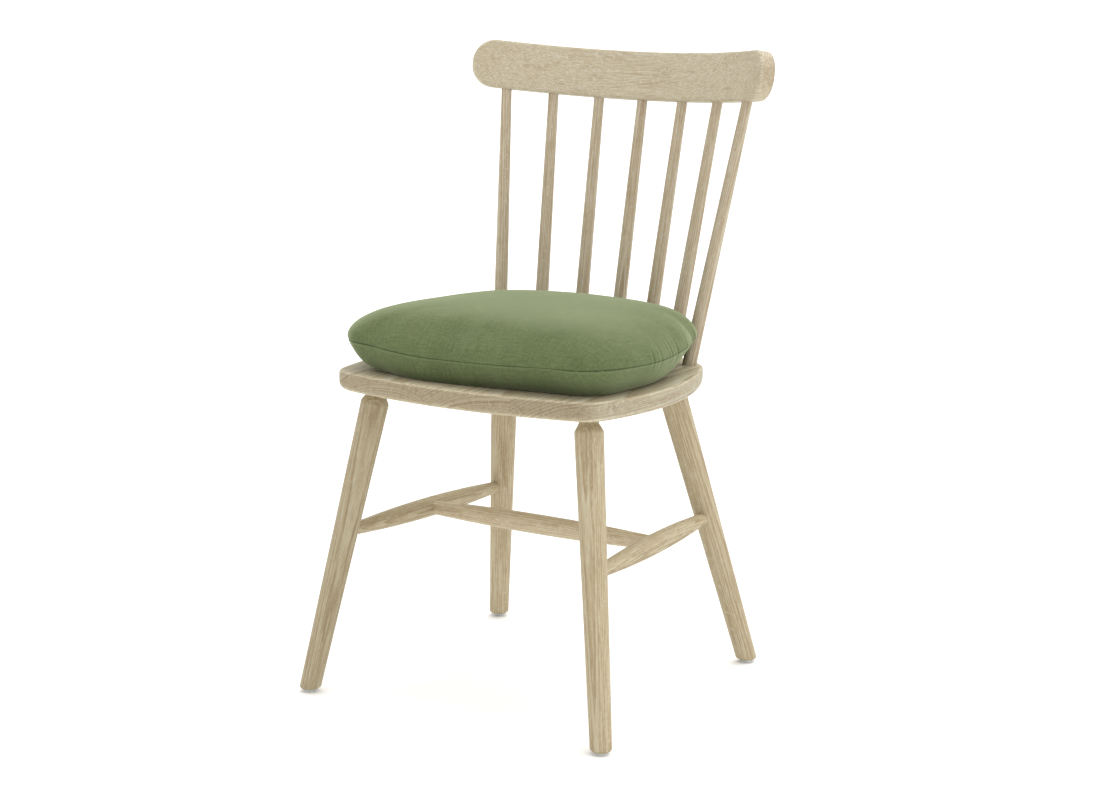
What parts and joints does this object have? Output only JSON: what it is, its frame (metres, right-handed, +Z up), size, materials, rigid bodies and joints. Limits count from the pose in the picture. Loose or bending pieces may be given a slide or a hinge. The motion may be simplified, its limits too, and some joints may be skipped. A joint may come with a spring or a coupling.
{
  "type": "spindle back dining chair",
  "caption": "Spindle-back oak dining chair without arms: curved crest rail, solid seat, splayed turned legs with stretchers, and a loose plump seat cushion.",
  "frame": {"origin": "on the floor, under the middle of the whole chair", "axes": "+Z up, -Y the front of the chair, +X the sitter's left, the viewer's right when facing its front"},
  "size_m": [0.5, 0.5363, 0.8732],
  "materials": {
    "seat_oak": "limed oak, matt",
    "leg_oak": "limed oak, matt",
    "stretcher_oak": "limed oak, matt",
    "spindle_oak": "limed oak, matt",
    "crest_oak": "limed oak, matt",
    "glide_plastic": "milky translucent plastic",
    "nail_steel": "bright steel",
    "cushion_cloth": "washed plain-weave linen cotton",
    "filling_fibre": "soft fibre"
  },
  "bodies": {
    "chair": {"seat_board_left": "seat_oak", "seat_board_middle": "seat_oak", "seat_board_right": "seat_oak", "leg_front_left": "leg_oak", "leg_front_right": "leg_oak", "leg_rear_left": "leg_oak", "leg_rear_right": "leg_oak", "side_stretcher_left": "stretcher_oak", "side_stretcher_right": "stretcher_oak", "cross_stretcher": "stretcher_oak", "spindle_1": "spindle_oak", "spindle_2": "spindle_oak", "spindle_3": "spindle_oak", "spindle_4": "spindle_oak", "spindle_5": "spindle_oak", "spindle_6": "spindle_oak", "spindle_7": "spindle_oak", "crest_rail": "crest_oak", "glide_front_left": "glide_plastic", "glide_front_right": "glide_plastic", "glide_rear_left": "glide_plastic", "glide_rear_right": "glide_plastic", "glide_nails": "nail_steel"},
    "cushion": {"cushion_top_panel": "cushion_cloth", "cushion_bottom_panel": "cushion_cloth", "cushion_filling": "filling_fibre"}
  },
  "joints": [
    {"name": "cushion_lift", "type": "slide", "parent": "chair", "child": "cushion", "axis": [0, 0, 1], "range_m": [0, 0.45]}
  ]
}
